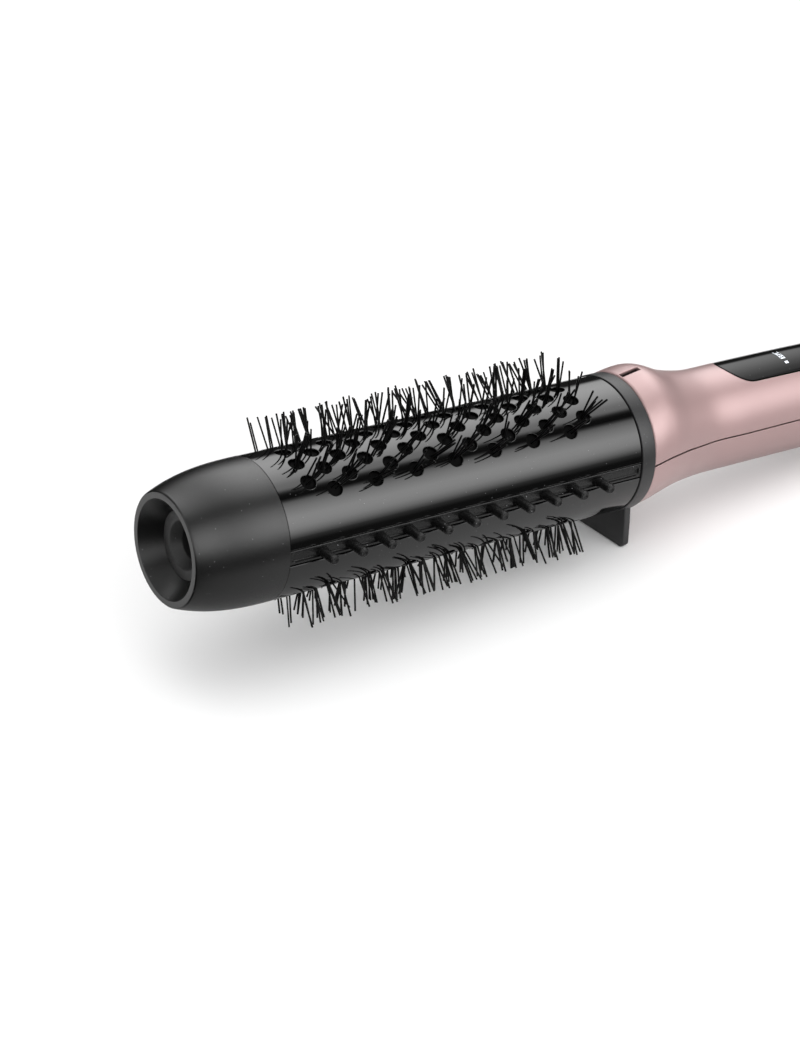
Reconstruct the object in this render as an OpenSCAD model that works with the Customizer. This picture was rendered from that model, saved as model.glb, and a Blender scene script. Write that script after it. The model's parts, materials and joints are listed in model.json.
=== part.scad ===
// Hot air brush: a heated round barrel with bristles and a rose gold handle.
// It lies at rest on its stand foot and on the rim of its intake cap.
// Tool frame: x along the brush with the tip at -x, z up, y across.

/* [Barrel] */
// Outer radius of the barrel tube
barrel_r = 25; // [24:0.5:26]
// Length of the barrel tube from the collar to the tip cap
barrel_len = 149.5; // [146:0.5:152]
// Wall of the barrel tube
barrel_wall = 1; // [0.8:0.1:1.2]
// Radius of each bristle hole
hole_r = 2.75; // [2.2:0.05:2.9]
// Distance between holes along a row
hole_pitch = 16.6; // [16:0.1:16.8]
// Angle between neighbouring rows of holes
row_step = 9.7; // [9.4:0.1:9.8]
// Rows of holes in each field
row_count = 10; // [8:2:10]

/* [Bristles] */
// Radius that the bristle ends reach
bristle_reach = 37.5; // [33:0.5:37.5]
// Radius of one bristle
bristle_r = 0.32; // [0.25:0.01:0.4]
// Bristles in each hole
tuft_count = 3; // [1:1:3]
// Largest lean of a bristle away from straight out
bristle_lean = 13; // [0:1:14]

/* [Comb strips] */
// Half width of each side slot
slot_half = 3; // [2.8:0.1:3.2]
// Radius that the comb nubs reach
nub_reach = 32.5; // [30:0.5:34]
// Radius of a nub at its end
nub_r = 1.7; // [1.4:0.1:1.8]
// Nubs on each strip
nub_count = 11; // [8:1:11]
// Distance between nubs
nub_pitch = 11.7; // [11:0.1:12]

/* [Tip cap] */
// Length of the tip cap beyond the barrel
tip_len = 33.3; // [33:0.1:34]
// Radius of the dish at the front lip
lip_r = 17.4; // [17:0.1:18.2]
// Radius of the floor of the dish
dish_floor_r = 12; // [11.5:0.1:12.5]
// Depth of the dish
dish_depth = 7; // [6:0.1:8]

/* [Collar and stand] */
// Width of the collar ring
collar_w = 6.2; // [6:0.1:7]
// Outer radius of the collar ring
collar_r = 25.4; // [25.2:0.1:25.6]
// Thickness of the stand foot
foot_t = 3; // [2.5:0.1:3.5]
// Depth of the foot below the barrel axis
foot_drop = 36; // [35.5:0.1:37]
// Half width of the foot at the bottom
foot_half = 16; // [14:0.5:18]

/* [Handle] */
// Wall of the handle shells
shell_wall = 2.2; // [2:0.1:2.4]
// Where the handle shells end
shell_end = 176; // [174:1:178]
// Radius of the intake cap's rim
cap_rim_r = 19.65; // [19.4:0.05:20]
// Half width of the display panel
panel_half = 9.6; // [9:0.1:10]
// Front end of the display panel
panel_front = 55.6; // [54:0.1:57]
// Rear end of the display panel
panel_rear = 150; // [148:1:152]

/* [Controls] */
// Radius of each button
button_r = 4.4; // [4:0.1:4.6]
// Travel of each button
button_travel = 0.6; // [0.4:0.1:0.6]

/* [Cord inlet] */
// Radius of the cord's hole in the swivel gland
cord_r = 3.2; // [3:0.1:3.4]

/* [Hidden] */

$fn = 64;
cut = 0.5;
gap = 0.1;
tube_in = barrel_r - barrel_wall;
tube_front = -barrel_len;
tip_front = tube_front - tip_len;
dish_floor_x = tip_front + dish_depth;
lip_out_r = 19.6;

// Heights of the two long axes inside the handle
air_z = -3;
rear_z = -1;

// Handle outline: place along x, half width, height of the top, depth of the underside and height of the seam
hx = [6.2, 12, 16, 20, 25, 30, 42, 56, 90, 130, 164, 176];
ha = [25.0, 24.5, 23.9, 23.2, 21.8, 20.6, 18.1, 17.8, 17.1, 17.3, 18.4, 18.9];
ht = [25.5, 26.8, 27.1, 26.2, 24.0, 22.1, 19.9, 19.8, 19.8, 19.0, 18.2, 17.9];
hd = [25.1, 24.2, 23.1, 22.0, 21.2, 20.5, 20.1, 20.0, 20.2, 20.2, 20.0, 19.9];
hs = [0.1, 1.0, 1.4, 1.45, 1.25, 0.8, 0.05, -0.25, -0.45, -0.65, -0.9, -1.0];
shell_rings = 26;
arc_points = 16;

// Rest pose: the foot and the rim of the intake cap stand on one plane
rim_x = 186;
foot_back = collar_w;
rest_tilt = atan((foot_drop - (cap_rim_r - rear_z)) / (rim_x - foot_back));
gland_end_x = 201;
gland_end_r = 5;
lowest_z = -foot_back * sin(rest_tilt) - foot_drop * cos(rest_tilt);
front_reach = tip_front * cos(rest_tilt) - lip_out_r * sin(rest_tilt);
rear_reach = gland_end_x * cos(rest_tilt) + (rear_z + gland_end_r) * sin(rest_tilt);
shift_x = -(front_reach + rear_reach) / 2;

black_soft = [0.10, 0.10, 0.11];
black_gloss = [0.03, 0.03, 0.035];
black_foot = [0.07, 0.07, 0.075];
rose_gold = [0.80, 0.62, 0.60];
steel = [0.72, 0.72, 0.74];
board_green = [0.05, 0.30, 0.16];
mica = [0.70, 0.62, 0.48];

// Puts a part of the tool frame in its rest pose on the table
module rest_pose() translate([shift_x, 0, -lowest_z]) rotate([0, rest_tilt, 0]) children();

// Turns a radius and length outline about the x axis
module lathe(z = 0) translate([0, 0, z]) rotate([0, 90, 0]) rotate_extrude($fn = 96) children();

// Round bar along x
module bar(x0, x1, r, z = 0) translate([x0, 0, z]) rotate([0, 90, 0]) cylinder(h = x1 - x0, r = r);

// Tube along x
module pipe(x0, x1, r_out, r_in, z = 0) difference() {
    bar(x0, x1, r_out, z);
    bar(x0 - cut, x1 + cut, r_in, z);
}

// Part of a tube, spread evenly about the upward direction
module arc_band(x0, x1, r_in, r_out, spread) rotate([0, 90, 0]) rotate([0, 0, 180 - spread / 2])
    rotate_extrude(angle = spread, $fn = 96) translate([r_in, x0]) square([r_out - r_in, x1 - x0]);

// Faces outward from the x axis at a turn from straight up towards the near side
module outward(x, turn) translate([x, 0, 0]) rotate([turn, 0, 0]) children();

// Smooth curve through ys at xs: cubic pieces with slopes from the neighbours
function slope(xs, ys, i) = let (a = max(i - 1, 0), b = min(i + 1, len(xs) - 1))
    (ys[b] - ys[a]) / (xs[b] - xs[a]);
function piece(xs, x, i = 0) = i >= len(xs) - 2 || x < xs[i + 1] ? i : piece(xs, x, i + 1);
function curve(xs, ys, x) = let (
        i = piece(xs, x),
        w = xs[i + 1] - xs[i],
        t = (x - xs[i]) / w,
        m0 = slope(xs, ys, i) * w,
        m1 = slope(xs, ys, i + 1) * w)
    (2 * t^3 - 3 * t^2 + 1) * ys[i] + (t^3 - 2 * t^2 + t) * m0
    + (3 * t^2 - 2 * t^3) * ys[i + 1] + (t^3 - t^2) * m1;
function half_w(x) = curve(hx, ha, x);
function top_z(x) = curve(hx, ht, x);
function low_z(x) = -curve(hx, hd, x);
function seam_z(x) = curve(hx, hs, x);
function rise(x, turn) = sin(turn) < 0 ? seam_z(x) - low_z(x) : top_z(x) - seam_z(x);

// Rings stand closer together over the hump, where the outline bends most
function ring_x(i, from, to) = let (t = i / (shell_rings - 1)) from + (to - from) * (0.35 * t + 0.65 * t^2);
function arc_point(x, inset, turn, lift) =
    [x, (half_w(x) - inset) * cos(turn), seam_z(x) + lift + (rise(x, turn) - inset) * sin(turn)];

// Half shell of the handle: side is 1 for the upper half and -1 for the lower half
module half_shell(side) {
    n = arc_points;
    pts = [
        for (i = [0 : shell_rings - 1]) let (x = ring_x(i, collar_w + gap, shell_end)) each concat(
            [for (k = [0 : n - 1]) arc_point(x, 0, 180 * k / (n - 1) * side, gap / 2 * side)],
            [for (k = [n - 1 : -1 : 0]) arc_point(x, shell_wall, 180 * k / (n - 1) * side, gap / 2 * side)])
    ];
    ring = 2 * n;
    walls = [
        for (i = [0 : shell_rings - 2], k = [0 : ring - 1]) let (
            a = i * ring + k,
            b = i * ring + (k + 1) % ring) each [[a, b, b + ring], [a, b + ring, a + ring]]
    ];
    last = (shell_rings - 1) * ring;
    ends = [for (k = [0 : n - 2]) let (a = k, b = k + 1, c = ring - 2 - k, d = ring - 1 - k) each [
        [a, c, b],
        [a, d, c],
        [last + a, last + b, last + c],
        [last + a, last + c, last + d]
    ]];
    faces = concat(walls, ends);
    flipped = [for (f = faces) [f[0], f[2], f[1]]];
    polyhedron(points = pts, faces = side > 0 ? flipped : faces, convexity = 4);
}

// Solid loft of the handle between two places, set in from the outside
module handle_core(from, to, inset) {
    n = 40;
    rings = 12;
    pts = [for (i = [0 : rings - 1], k = [0 : n - 1])
        arc_point(from + (to - from) * i / (rings - 1), inset, 360 * k / n, 0)];
    walls = [for (i = [0 : rings - 2], k = [0 : n - 1]) let (a = i * n + k, b = i * n + (k + 1) % n)
        each [[a, b + n, b], [a, a + n, b + n]]];
    front = [[for (k = [0 : n - 1]) k]];
    back = [[for (k = [n - 1 : -1 : 0]) (rings - 1) * n + k]];
    polyhedron(points = pts, faces = concat(walls, front, back), convexity = 2);
}

// Upright prism over the display panel's outline, grown by a margin
module panel_prism(margin) linear_extrude(height = 40) {
    translate([panel_front + panel_half, 0]) circle(r = panel_half + margin, $fn = 48);
    translate([panel_front + panel_half, -panel_half - margin])
        square([panel_rear - panel_front - panel_half + margin, 2 * (panel_half + margin)]);
}

// Shape of the tip cap's outside: full at the barrel, falling away towards the lip
cap_fall = 5;
cap_power = 2.6;
cap_end_x = tip_front + 0.4;
cap_steps = 9;
function cap_r(t) = barrel_r - cap_fall * t^cap_power;
spigot_r = 20.4;
spigot_end = tube_front + 8;
insert_t = 3;

// Funnel in the insert's face, and the hole that it leads to
funnel_r = 8.4;
funnel_depth = 3.2;
tip_hole_r = 5.4;

module tip_cap() color(black_soft) rest_pose() lathe() polygon(concat(
    [[spigot_r, spigot_end], [spigot_r, tube_front + 1.8], [tube_in - gap, tube_front + 1.8], [tube_in - gap, tube_front]],
    [for (i = [0 : cap_steps]) let (t = i / cap_steps) [cap_r(t), tube_front + t * (cap_end_x - tube_front)]],
    [[lip_out_r, tip_front], [lip_r, tip_front]],
    [[dish_floor_r, dish_floor_x], [dish_floor_r, dish_floor_x + insert_t]],
    [[17, -171], [21.8, -165], [21.8, -152], [spigot_r - 1.6, -150], [spigot_r - 1.6, spigot_end]]));

module tip_insert() color(black_foot) rest_pose() difference() {
    union() {
        bar(dish_floor_x, dish_floor_x + insert_t, dish_floor_r - 0.05);
        bar(dish_floor_x + insert_t, -146.1, 6.5);
    }
    translate([dish_floor_x, 0, 0]) rotate([0, 90, 0]) cylinder(h = funnel_depth, r1 = funnel_r, r2 = tip_hole_r);
    bar(dish_floor_x, -158, tip_hole_r);
    bar(-160, -145, 1.6);
}

module tip_screw() color(steel) rest_pose() {
    bar(-161.5, -158, 2.8);
    bar(-158, -140, 1.5);
}

// Holes of one field: rows of seven and of eight stand in turn
function row_first(k) = k % 2 == 1 ? -128 : -136.5;
function row_holes(k) = k % 2 == 1 ? 7 : 8;
function row_turn(k) = (k - (row_count - 1) / 2) * row_step;

module lower_half() mirror([0, 0, 1]) children();

module field_holes() for (k = [0 : row_count - 1], i = [0 : row_holes(k) - 1])
    outward(row_first(k) + hole_pitch * i, row_turn(k)) translate([0, 0, 21]) cylinder(h = 6, r = hole_r, $fn = 32);

module barrel_tube() color(black_gloss) rest_pose() difference() {
    pipe(tube_front, -gap, barrel_r, tube_in);
    field_holes();
    lower_half() field_holes();
    for (side = [-1, 1]) translate([tube_front - cut, side < 0 ? -30 : 20, -slot_half])
        cube([barrel_len - 1.2 + cut, 10, 2 * slot_half]);
}

carrier_in = tube_in - 1.8;
carrier_out = tube_in - gap;
module bristle_carrier() arc_band(-143, -12, carrier_in, carrier_out, 104);
module bristle_carrier_upper() color(black_soft) rest_pose() bristle_carrier();
module bristle_carrier_lower() color(black_soft) rest_pose() lower_half() bristle_carrier();

// One tuft: bristles that lean a little, each its own way
module tuft(seed) {
    draws = rands(-1, 1, 4 * tuft_count, seed);
    for (j = [0 : tuft_count - 1]) {
        off = 1.1 * [draws[4 * j], draws[4 * j + 1]];
        lean = bristle_lean * [draws[4 * j + 2], draws[4 * j + 3]];
        translate([off[0], off[1], 22.6]) rotate([lean[0], lean[1], 0])
            cylinder(h = bristle_reach - 22.6, r = bristle_r, $fn = 16);
    }
}

module bristle_field(seed) for (k = [0 : row_count - 1], i = [0 : row_holes(k) - 1])
    outward(row_first(k) + hole_pitch * i, row_turn(k)) tuft(seed + 20 * k + i);

module bristles_upper() color(black_foot) rest_pose() bristle_field(100);
module bristles_lower() color(black_foot) rest_pose() lower_half() bristle_field(900);

// Comb strip: a rib that fills the slot, a wider root behind the wall and a row of nubs
module comb_strip() {
    intersection() {
        union() {
            pipe(-147.5, -9.2, barrel_r - 0.3, 22);
            pipe(-10, -1.5, barrel_r - 0.3, tube_in);
        }
        translate([-148, -30, -slot_half + gap]) cube([148, 10, 2 * (slot_half - gap)]);
    }
    intersection() {
        pipe(-146, -9.2, tube_in - gap, 21.5);
        translate([-148, -30, -5]) cube([146, 10, 10]);
    }
    for (i = [0 : nub_count - 1]) outward(-136.5 + nub_pitch * i, 90) {
        translate([0, 0, 22]) cylinder(h = nub_reach - nub_r - 22, r1 = nub_r + 0.2, r2 = nub_r, $fn = 32);
        translate([0, 0, nub_reach - nub_r]) sphere(r = nub_r, $fn = 32);
    }
}

module comb_strip_near() color([0.16, 0.16, 0.17]) rest_pose() comb_strip();
module comb_strip_far() color([0.16, 0.16, 0.17]) rest_pose() mirror([0, 1, 0]) comb_strip();

module core_tube() color(steel) rest_pose() difference() {
    bar(-146, -9.1, 11.4);
    bar(-143, -9, 10.6);
    bar(-147, -142, 1.5);
    for (x = [-130 : 20 : -30], turn = [90, 270]) outward(x, turn) cylinder(h = 14, r = 2.5, $fn = 32);
}

module barrel_heater() difference() {
    translate([-112, -7.5, 11.5]) cube([64, 15, 4]);
    for (x = [-106, -54]) translate([x, 0, 11]) cylinder(h = 6, r = 1.6, $fn = 32);
}

module barrel_heater_upper() color([0.75, 0.75, 0.76]) rest_pose() barrel_heater();
module barrel_heater_lower() color([0.75, 0.75, 0.76]) rest_pose() lower_half() barrel_heater();

module barrel_bulkhead() color(black_foot) rest_pose() difference() {
    union() {
        bar(-9, 0.2, tube_in - gap);
        bar(0.2, 10, 21.9);
    }
    bar(-10, 11, 12.3, air_z);
}

// Collar ring with the transverse foot below it; the foot's underside lies on the table
module stand_collar() color(black_foot) rest_pose() {
    difference() {
        union() {
            pipe(0.3, collar_w, collar_r, 22);
            translate([collar_w - foot_t, 0, 0]) rotate([90, 0, 90]) linear_extrude(height = foot_t)
                polygon([[-14.9, -18], [14.9, -18], [foot_half - 0.3, -26], [foot_half, -foot_drop + 1.2],
                    [foot_half - 1.2, -foot_drop - 1], [1.2 - foot_half, -foot_drop - 1],
                    [-foot_half, -foot_drop + 1.2], [0.3 - foot_half, -26]]);
        }
        bar(-1, 20, 22);
        translate([foot_back, 0, -foot_drop]) rotate([0, -rest_tilt, 0]) translate([-30, -30, -20])
            cube([60, 60, 20]);
    }
}

slot_x = [7.2, 15.4];
slot_half_w = 1.3;
button_x = [108, 122, 137];
screw_x = 171.5;
screw_turn = [140, 220];

module handle_upper_shell() color(rose_gold) rest_pose() difference() {
    half_shell(1);
    panel_prism(0.15);
    translate([slot_x[0], -slot_half_w, 20]) cube([slot_x[1] - slot_x[0], 2 * slot_half_w, 12]);
}

module handle_lower_shell() color(rose_gold) rest_pose() difference() {
    half_shell(-1);
    for (turn = screw_turn) translate([screw_x, 0, rear_z]) rotate([turn, 0, 0]) {
        cylinder(h = 24, r = 1.1, $fn = 32);
        translate([0, 0, 17.6]) cylinder(h = 4, r = 1.8, $fn = 32);
    }
}

module ion_emitter() color([0.85, 0.85, 0.82]) rest_pose() {
    difference() {
        translate([11, -3.5, 12.5]) cube([22, 7, 5]);
        translate([15, -2.3, 15]) cube([14, 4.6, 3]);
    }
    translate([12.5, 0, 17.5]) cylinder(h = 4.5, r1 = 0.7, r2 = 0.15, $fn = 24);
}

panel_t = 1.8;
module display_panel() color(black_gloss) rest_pose() difference() {
    intersection() {
        handle_core(50, 155, 0);
        panel_prism(0);
    }
    handle_core(49, 156, panel_t);
    for (x = button_x) {
        translate([x, 0, 10]) cylinder(h = 12, r = button_r + 0.2, $fn = 48);
        translate([x, 0, 10]) cylinder(h = 7.5, r = button_r + 1.4, $fn = 48);
    }
}

// Readout made of short bars: each glyph is a list of strokes in a cell one wide and two high
glyph_one = [[1, 0, 1, 2]];
glyph_eight = [[0, 0, 0, 2], [1, 0, 1, 2], [0, 0, 1, 0], [0, 1, 1, 1], [0, 2, 1, 2]];
glyph_zero = [[0, 0, 0, 2], [1, 0, 1, 2], [0, 0, 1, 0], [0, 2, 1, 2]];
glyph_ring = [[0, 1.4, 0, 2], [0.6, 1.4, 0.6, 2], [0, 1.4, 0.6, 1.4], [0, 2, 0.6, 2]];
glyph_c = [[0, 0, 0, 2], [0, 0, 1, 0], [0, 2, 1, 2]];
glyphs = [glyph_one, glyph_eight, glyph_zero, glyph_ring, glyph_c];
glyph_at = [-4.7, -3.4, -2.1, -0.8, 0.1];
glyph_t = 0.12;
mark_y = -5.8;
mark_size = [1.5, 1.1, glyph_t];
digit_x = 83.5;
digit_h = 2;
stroke = 0.17;

// Lays a small piece on the handle's top at a place across it
module on_top(x, y) {
    turn = asin(y / half_w(x));
    height = rise(x, 90);
    lean = atan(height / half_w(x) * tan(turn));
    translate([x, y, seam_z(x) + height * cos(turn)]) rotate([-lean, 0, 0]) children();
}

module glyph(strokes) for (s = strokes)
    translate([-max(s[1], s[3]) - stroke / 2 + 1, min(s[0], s[2]) - stroke / 2, 0])
        cube([abs(s[3] - s[1]) + stroke, abs(s[2] - s[0]) + stroke, glyph_t]);

module display_digits() color("white") rest_pose() {
    for (g = [0 : len(glyphs) - 1]) on_top(digit_x, glyph_at[g]) scale(digit_h / 2) glyph(glyphs[g]);
    on_top(digit_x, mark_y) translate([-mark_size[0] / 2, -mark_size[1] / 2, 0]) cube(mark_size);
}

board_z = 12.3;
board_t = 1.2;
board_half = 9.2;
module display_board() color(board_green) rest_pose() {
    translate([62, -board_half, board_z]) cube([36, 2 * board_half, board_t]);
    translate([74, -7.5, board_z + board_t]) cube([16, 15, 1.8]);
}

module control_board() color(board_green) rest_pose() {
    difference() {
        translate([100, -board_half, board_z]) cube([48, 2 * board_half, board_t]);
        for (x = [103, 145]) translate([x, 0, 12]) cylinder(h = 3, r = 1.1, $fn = 32);
    }
}

// Rubber mat with a dome under each button; a button's flange stops at its dome
mat_t = 1.2;
dome_h = 1.1;
dome_top = board_z + board_t + mat_t + dome_h;
button_low = dome_top + button_travel + gap;
module key_mat() color([0.55, 0.55, 0.56]) rest_pose() {
    translate([101.5, -6, board_z + board_t]) cube([45, 12, mat_t]);
    for (x = button_x) translate([x, 0, dome_top - dome_h]) cylinder(h = dome_h, r1 = 2.4, r2 = 1.6, $fn = 32);
}

// Button: a flange that stays under the panel and a round cap that stands through it
module button(x) translate([x, 0, button_low]) {
    cylinder(h = 0.8, r = button_r + 1, $fn = 48);
    cylinder(h = top_z(x) - button_low + 0.5, r = button_r - 0.3, $fn = 48);
    cylinder(h = top_z(x) - button_low + 0.2, r = button_r, $fn = 48);
}

module power_button() color(black_soft) rest_pose() button(button_x[2]);
module plus_button() color(black_soft) rest_pose() button(button_x[0]);
module minus_button() color(black_soft) rest_pose() button(button_x[1]);

module heat_shield() color(steel) rest_pose() {
    pipe(-8, 92, 12.1, 11.6, air_z);
    pipe(12, 13.5, 14, 12, air_z);
    pipe(88, 89.5, 14, 12, air_z);
}

module mica_frame() color(mica) rest_pose() translate([0, 0, air_z]) rotate([45, 0, 0])
    for (turn = [0, 90]) rotate([turn, 0, 0]) translate([16, -9, -0.4]) cube([58, 18, 0.8]);

// Resistance wire wound round the crossed plates
coil_turns = 9;
coil_steps = 14;
coil_r = 9.8;
module heating_coil() color([0.70, 0.66, 0.62]) rest_pose() {
    count = coil_turns * coil_steps;
    sides = 5;
    pts = [for (i = [0 : count], k = [0 : sides - 1]) let (
        turn = 360 * i / coil_steps,
        r = coil_r + 0.45 * cos(360 * k / sides),
        x = 20 + 50 * i / count + 0.45 * sin(360 * k / sides)) [x, r * cos(turn), air_z + r * sin(turn)]];
    walls = [for (i = [0 : count - 1], k = [0 : sides - 1]) let (a = i * sides + k, b = i * sides + (k + 1) % sides)
        each [[a, b, b + sides], [a, b + sides, a + sides]]];
    front = [[for (k = [sides - 1 : -1 : 0]) k]];
    back = [[for (k = [0 : sides - 1]) count * sides + k]];
    polyhedron(points = pts, faces = concat(walls, front, back), convexity = 10);
}

module thermal_cutout() color([0.80, 0.78, 0.70]) rest_pose() {
    translate([44, 0, air_z + 12.2]) cylinder(h = 4.5, r = 4, $fn = 48);
    translate([37, -2, air_z + 12.2]) cube([14, 4, 0.8]);
}

module fan_housing() color([0.20, 0.20, 0.21]) rest_pose() {
    pipe(100, 164, 13.6, 12.6, air_z);
    lathe(air_z) polygon([[12.2, 93], [12.9, 93], [13.6, 100], [12.6, 100]]);
}

module motor_cradle() color([0.22, 0.22, 0.23]) rest_pose() {
    pipe(130, 156, 10.3, 9.35, air_z);
    for (turn = [0 : 90 : 270]) translate([0, 0, air_z]) rotate([turn, 0, 0])
        translate([132, -0.6, 10.1]) cube([20, 1.2, 2.4]);
}

module motor() color(steel) rest_pose() difference() {
    union() {
        bar(126, 162, 9.3, air_z);
        bar(124, 126, 3, air_z);
    }
    bar(123, 163, 1.05, air_z);
}

module motor_shaft() color([0.85, 0.85, 0.87]) rest_pose() bar(108, 163, 1, air_z);

// Axial fan: a hub with seven pitched blades
blade_count = 7;
module fan_impeller() color([0.30, 0.30, 0.31]) rest_pose() difference() {
    union() {
        bar(109, 119, 4.2, air_z);
        intersection() {
            bar(109.5, 118.5, 12, air_z);
            translate([114, 0, air_z]) for (i = [0 : blade_count - 1]) rotate([360 / blade_count * i, 0, 0])
                rotate([0, 0, 35]) translate([-7, -0.5, 3.6]) cube([14, 1, 9]);
        }
    }
    bar(108, 120, 1, air_z);
}

cap_slots = 20;
module intake_cap() color(black_soft) rest_pose() difference() {
    lathe(rear_z) polygon([[16.5, 168], [16.5, 176.1], [18.9, 176.1], [19.1, 182], [cap_rim_r, 185.4],
        [cap_rim_r, 186.6], [18.8, 188.6], [16.6, 190], [7.1, 190], [7.1, 187.4], [15.4, 187.4],
        [16.6, 184], [16.6, 178], [15.2, 177], [15.2, 168]]);
    for (i = [0 : cap_slots - 1]) translate([0, 0, rear_z]) rotate([360 / cap_slots * i, 0, 0])
        translate([185, -0.7, 9.2]) cube([8, 1.4, 5]);
    for (turn = screw_turn) translate([screw_x, 0, rear_z]) rotate([turn, 0, 0]) cylinder(h = 20, r = 1.05, $fn = 32);
}

module filter_disc() color([0.45, 0.45, 0.46]) rest_pose() translate([181, 0, rear_z]) rotate([0, 90, 0])
    linear_extrude(height = 0.8) difference() {
        circle(r = 16.4);
        for (ring = [1 : 4], i = [0 : 6 * ring - 1]) rotate(60 / ring * i) translate([3.3 * ring, 0])
            circle(r = 1.1, $fn = 24);
    }

module swivel_gland() color(black_soft) rest_pose() difference() {
    lathe(rear_z) polygon([[0, 184.4], [8.6, 184.4], [8.6, 187.2], [7.05, 187.2], [7.05, 190.2], [8.4, 190.3],
        [8.6, 192], [7.2, 196], [5.6, 200], [gland_end_r, gland_end_x], [0, gland_end_x]]);
    bar(184, 203, cord_r, rear_z);
}

module gland_clip() color(steel) rest_pose() pipe(183.2, 184.3, 7.6, 3.6, rear_z);

module shell_screws() color(steel) rest_pose() for (turn = screw_turn)
    translate([screw_x, 0, rear_z]) rotate([turn, 0, 0]) {
        translate([0, 0, 13.5]) cylinder(h = 5, r = 1, $fn = 32);
        translate([0, 0, 17.6]) cylinder(h = 0.8, r = 1.7, $fn = 32);
    }

tip_cap();
tip_insert();
tip_screw();
barrel_tube();
bristle_carrier_upper();
bristle_carrier_lower();
bristles_upper();
bristles_lower();
comb_strip_near();
comb_strip_far();
core_tube();
barrel_heater_upper();
barrel_heater_lower();
barrel_bulkhead();
stand_collar();
handle_upper_shell();
handle_lower_shell();
ion_emitter();
display_panel();
display_digits();
display_board();
control_board();
key_mat();
power_button();
plus_button();
minus_button();
heat_shield();
mica_frame();
heating_coil();
thermal_cutout();
fan_housing();
motor_cradle();
motor();
motor_shaft();
fan_impeller();
intake_cap();
filter_disc();
swivel_gland();
gland_clip();
shell_screws();
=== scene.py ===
import json
import math

import bmesh
import bpy
import numpy as np
from mathutils import Matrix, Vector
from mathutils.geometry import delaunay_2d_cdt


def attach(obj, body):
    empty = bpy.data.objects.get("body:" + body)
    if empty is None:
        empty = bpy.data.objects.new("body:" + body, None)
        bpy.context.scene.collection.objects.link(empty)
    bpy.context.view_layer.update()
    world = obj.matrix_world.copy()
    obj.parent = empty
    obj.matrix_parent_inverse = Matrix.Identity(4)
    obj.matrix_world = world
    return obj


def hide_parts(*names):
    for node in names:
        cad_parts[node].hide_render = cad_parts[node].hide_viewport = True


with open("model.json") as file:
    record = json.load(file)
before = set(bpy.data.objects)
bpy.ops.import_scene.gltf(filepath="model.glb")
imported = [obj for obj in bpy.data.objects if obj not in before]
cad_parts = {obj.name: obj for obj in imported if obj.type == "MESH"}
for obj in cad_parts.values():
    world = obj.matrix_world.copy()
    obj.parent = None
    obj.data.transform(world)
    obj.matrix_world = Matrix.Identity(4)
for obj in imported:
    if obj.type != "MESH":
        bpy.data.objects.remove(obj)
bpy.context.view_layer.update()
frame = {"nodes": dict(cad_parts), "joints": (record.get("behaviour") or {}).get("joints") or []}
print("frame loaded:", len(frame["nodes"]), "nodes")

# ---- the brush's own axes: x along it with the tip at -x, z up, lengths in millimetres
swivel = next(j for j in frame["joints"] if j["name"] == "cord_swivel")
swivelPlace = dict(along=190.0, height=-1.0)   # where that joint sits on the brush, in millimetres
axisX = np.array(swivel["axis"], float)
axisY = np.array([0.0, 1.0, 0.0])
axisZ = np.cross(axisX, axisY)
millimetre = 0.001
brushOrigin = np.array(swivel["pos_m"]) - millimetre * (swivelPlace["along"] * axisX + swivelPlace["height"] * axisZ)


def toRow(points):
    # a point of the brush's own frame becomes origin + x*axisX + y*axisY + z*axisZ
    p = np.asarray(points, float) * millimetre
    return brushOrigin + p[..., :1] * axisX + p[..., 1:2] * axisY + p[..., 2:3] * axisZ


def turnToRow(vectors):
    v = np.asarray(vectors, float)
    return v[..., :1] * axisX + v[..., 1:2] * axisY + v[..., 2:3] * axisZ


def toBrush(points):
    p = (np.asarray(points, float) - brushOrigin) / millimetre
    return np.stack([p @ axisX, p @ axisY, p @ axisZ], -1)


def nodeCorners(name):
    mesh = frame["nodes"][name].data
    co = np.zeros(len(mesh.vertices) * 3, np.float32)
    mesh.vertices.foreach_get("co", co)
    return toBrush(co.reshape(-1, 3))


# ---- mesh helpers
def addMesh(name, points, faceGroups, body, material, normals=None):
    # faceGroups is a list of index arrays, one for each number of corners
    mesh = bpy.data.meshes.new(name)
    faces = [row for group in faceGroups for row in np.asarray(group).tolist()]
    mesh.from_pydata(toRow(points).tolist(), [], faces)
    mesh.polygons.foreach_set("use_smooth", [True] * len(mesh.polygons))
    mesh.update()
    if normals is not None:
        mesh.normals_split_custom_set_from_vertices(turnToRow(normals).tolist())
    piece = bpy.data.objects.new(name, mesh)
    bpy.context.scene.collection.objects.link(piece)
    piece.data.materials.append(material)
    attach(piece, body)
    return piece


def gridFaces(rows, cols, wrapCols=False, start=0):
    # quads between neighbouring rows and columns of a grid of points
    c = np.arange(cols if wrapCols else cols - 1)
    r = np.arange(rows - 1)[:, None]
    n = (c + 1) % cols
    a = r * cols + c
    b = r * cols + n
    return start + np.stack([a, b, b + cols, a + cols], -1).reshape(-1, 4)


def roundedProfile(corners, radii, steps=6):
    # walks the corners of an open outline and swaps each inner one for an arc of its radius
    pts = [np.array(corners[0], float)]
    for before, here, after, radius in zip(corners[:-2], corners[1:-1], corners[2:], radii):
        p, q, s = (np.array(v, float) for v in (before, here, after))
        inDir = (p - q) / np.linalg.norm(p - q)
        outDir = (s - q) / np.linalg.norm(s - q)
        half = math.acos(np.clip(inDir @ outDir, -1, 1)) / 2
        reach = radius / math.tan(half) if radius > 0 else 0
        t = np.linspace(0, 1, steps)[:, None] if radius > 0 else np.array([[0.5]])
        start, end = q + inDir * reach, q + outDir * reach
        pts.extend((1 - t) ** 2 * start + 2 * t * (1 - t) * q + t ** 2 * end)
    pts.append(np.array(corners[-1], float))
    return np.array(pts)


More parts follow.
